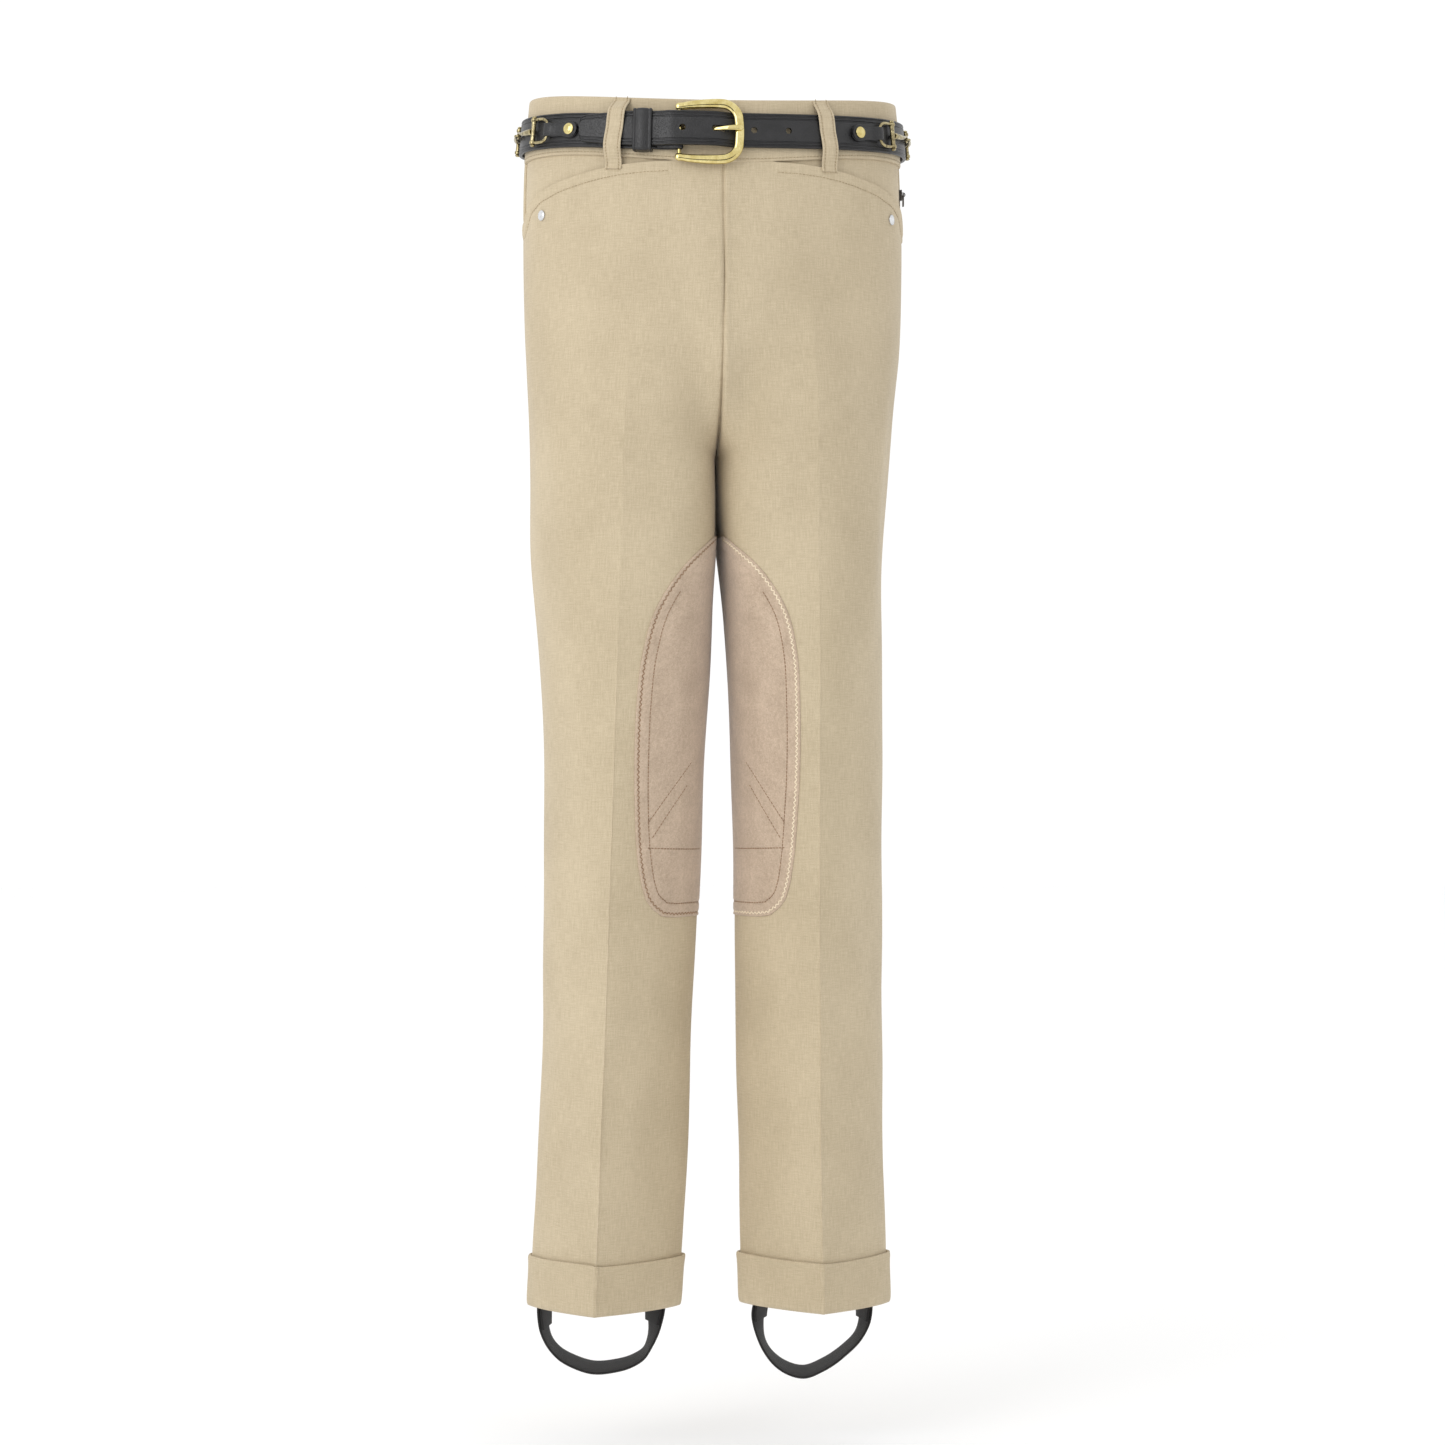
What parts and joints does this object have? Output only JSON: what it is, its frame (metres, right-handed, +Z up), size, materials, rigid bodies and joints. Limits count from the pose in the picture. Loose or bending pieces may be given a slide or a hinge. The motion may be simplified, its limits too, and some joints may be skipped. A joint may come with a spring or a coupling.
{
  "type": "child's riding jodhpurs with a belt",
  "caption": "Hollow, worn-shape riding jodhpurs with inner-knee patches, turned-up cuffs, elastic foot straps and a buckled leather belt with small snaffle bits.",
  "frame": {"origin": "middle of the waist opening, where the wearer holds the garment up", "axes": "+Z up, +X to the wearer's left, the front faces -Y"},
  "size_m": [0.299, 0.2084, 0.9639],
  "materials": {
    "tan_twill": "matt stretch twill",
    "suede": "brushed suede",
    "black_leather": "satin grained leather",
    "brass": "polished",
    "silver_metal": "polished",
    "dark_metal": "dark plated",
    "black_elastic": "woven elastic"
  },
  "bodies": {
    "root": {"waistband": "tan_twill", "front_panel_left": "tan_twill", "front_panel_right": "tan_twill", "back_panel_left": "tan_twill", "back_panel_right": "tan_twill", "hip_yoke_left": "tan_twill", "hip_yoke_right": "tan_twill", "cuff_left": "tan_twill", "cuff_right": "tan_twill", "belt_loop_front_left": "tan_twill", "belt_loop_front_right": "tan_twill", "belt_loop_back_left": "tan_twill", "belt_loop_back_right": "tan_twill", "belt_loop_back_middle": "tan_twill", "zip_tape_front": "tan_twill", "zip_tape_back": "tan_twill", "knee_patch_left": "suede", "knee_patch_right": "suede", "belt_strap": "black_leather", "belt_keeper": "black_leather", "bit_tab_left_front": "black_leather", "bit_tab_left_rear": "black_leather", "bit_tab_right_front": "black_leather", "bit_tab_right_rear": "black_leather", "buckle_frame": "brass", "buckle_tongue": "brass", "tab_rivet_left_front": "brass", "tab_rivet_left_rear": "brass", "tab_rivet_right_front": "brass", "tab_rivet_right_rear": "brass", "bit_dee_left_front": "brass", "bit_dee_left_rear": "brass", "bit_dee_right_front": "brass", "bit_dee_right_rear": "brass", "bit_cheek_left_front": "brass", "bit_cheek_left_rear": "brass", "bit_cheek_right_front": "brass", "bit_cheek_right_rear": "brass", "bit_mouth_left_front": "brass", "bit_mouth_left_rear": "brass", "bit_mouth_right_front": "brass", "bit_mouth_right_rear": "brass", "pocket_stud_left": "silver_metal", "pocket_stud_right": "silver_metal", "zip_slider": "dark_metal", "stirrup_strap_left": "black_elastic", "stirrup_strap_right": "black_elastic", "stirrup_tab_left_inner": "black_elastic", "stirrup_tab_left_outer": "black_elastic", "stirrup_tab_right_inner": "black_elastic", "stirrup_tab_right_outer": "black_elastic"},
    "pull": {"zip_pull": "dark_metal"}
  },
  "joints": [
    {"name": "pull_swing", "type": "hinge", "parent": "root", "child": "pull", "pos_m": [0.14371, 0, -0.0425], "axis": [0, -1, 0], "range_deg": [0, 165]}
  ]
}
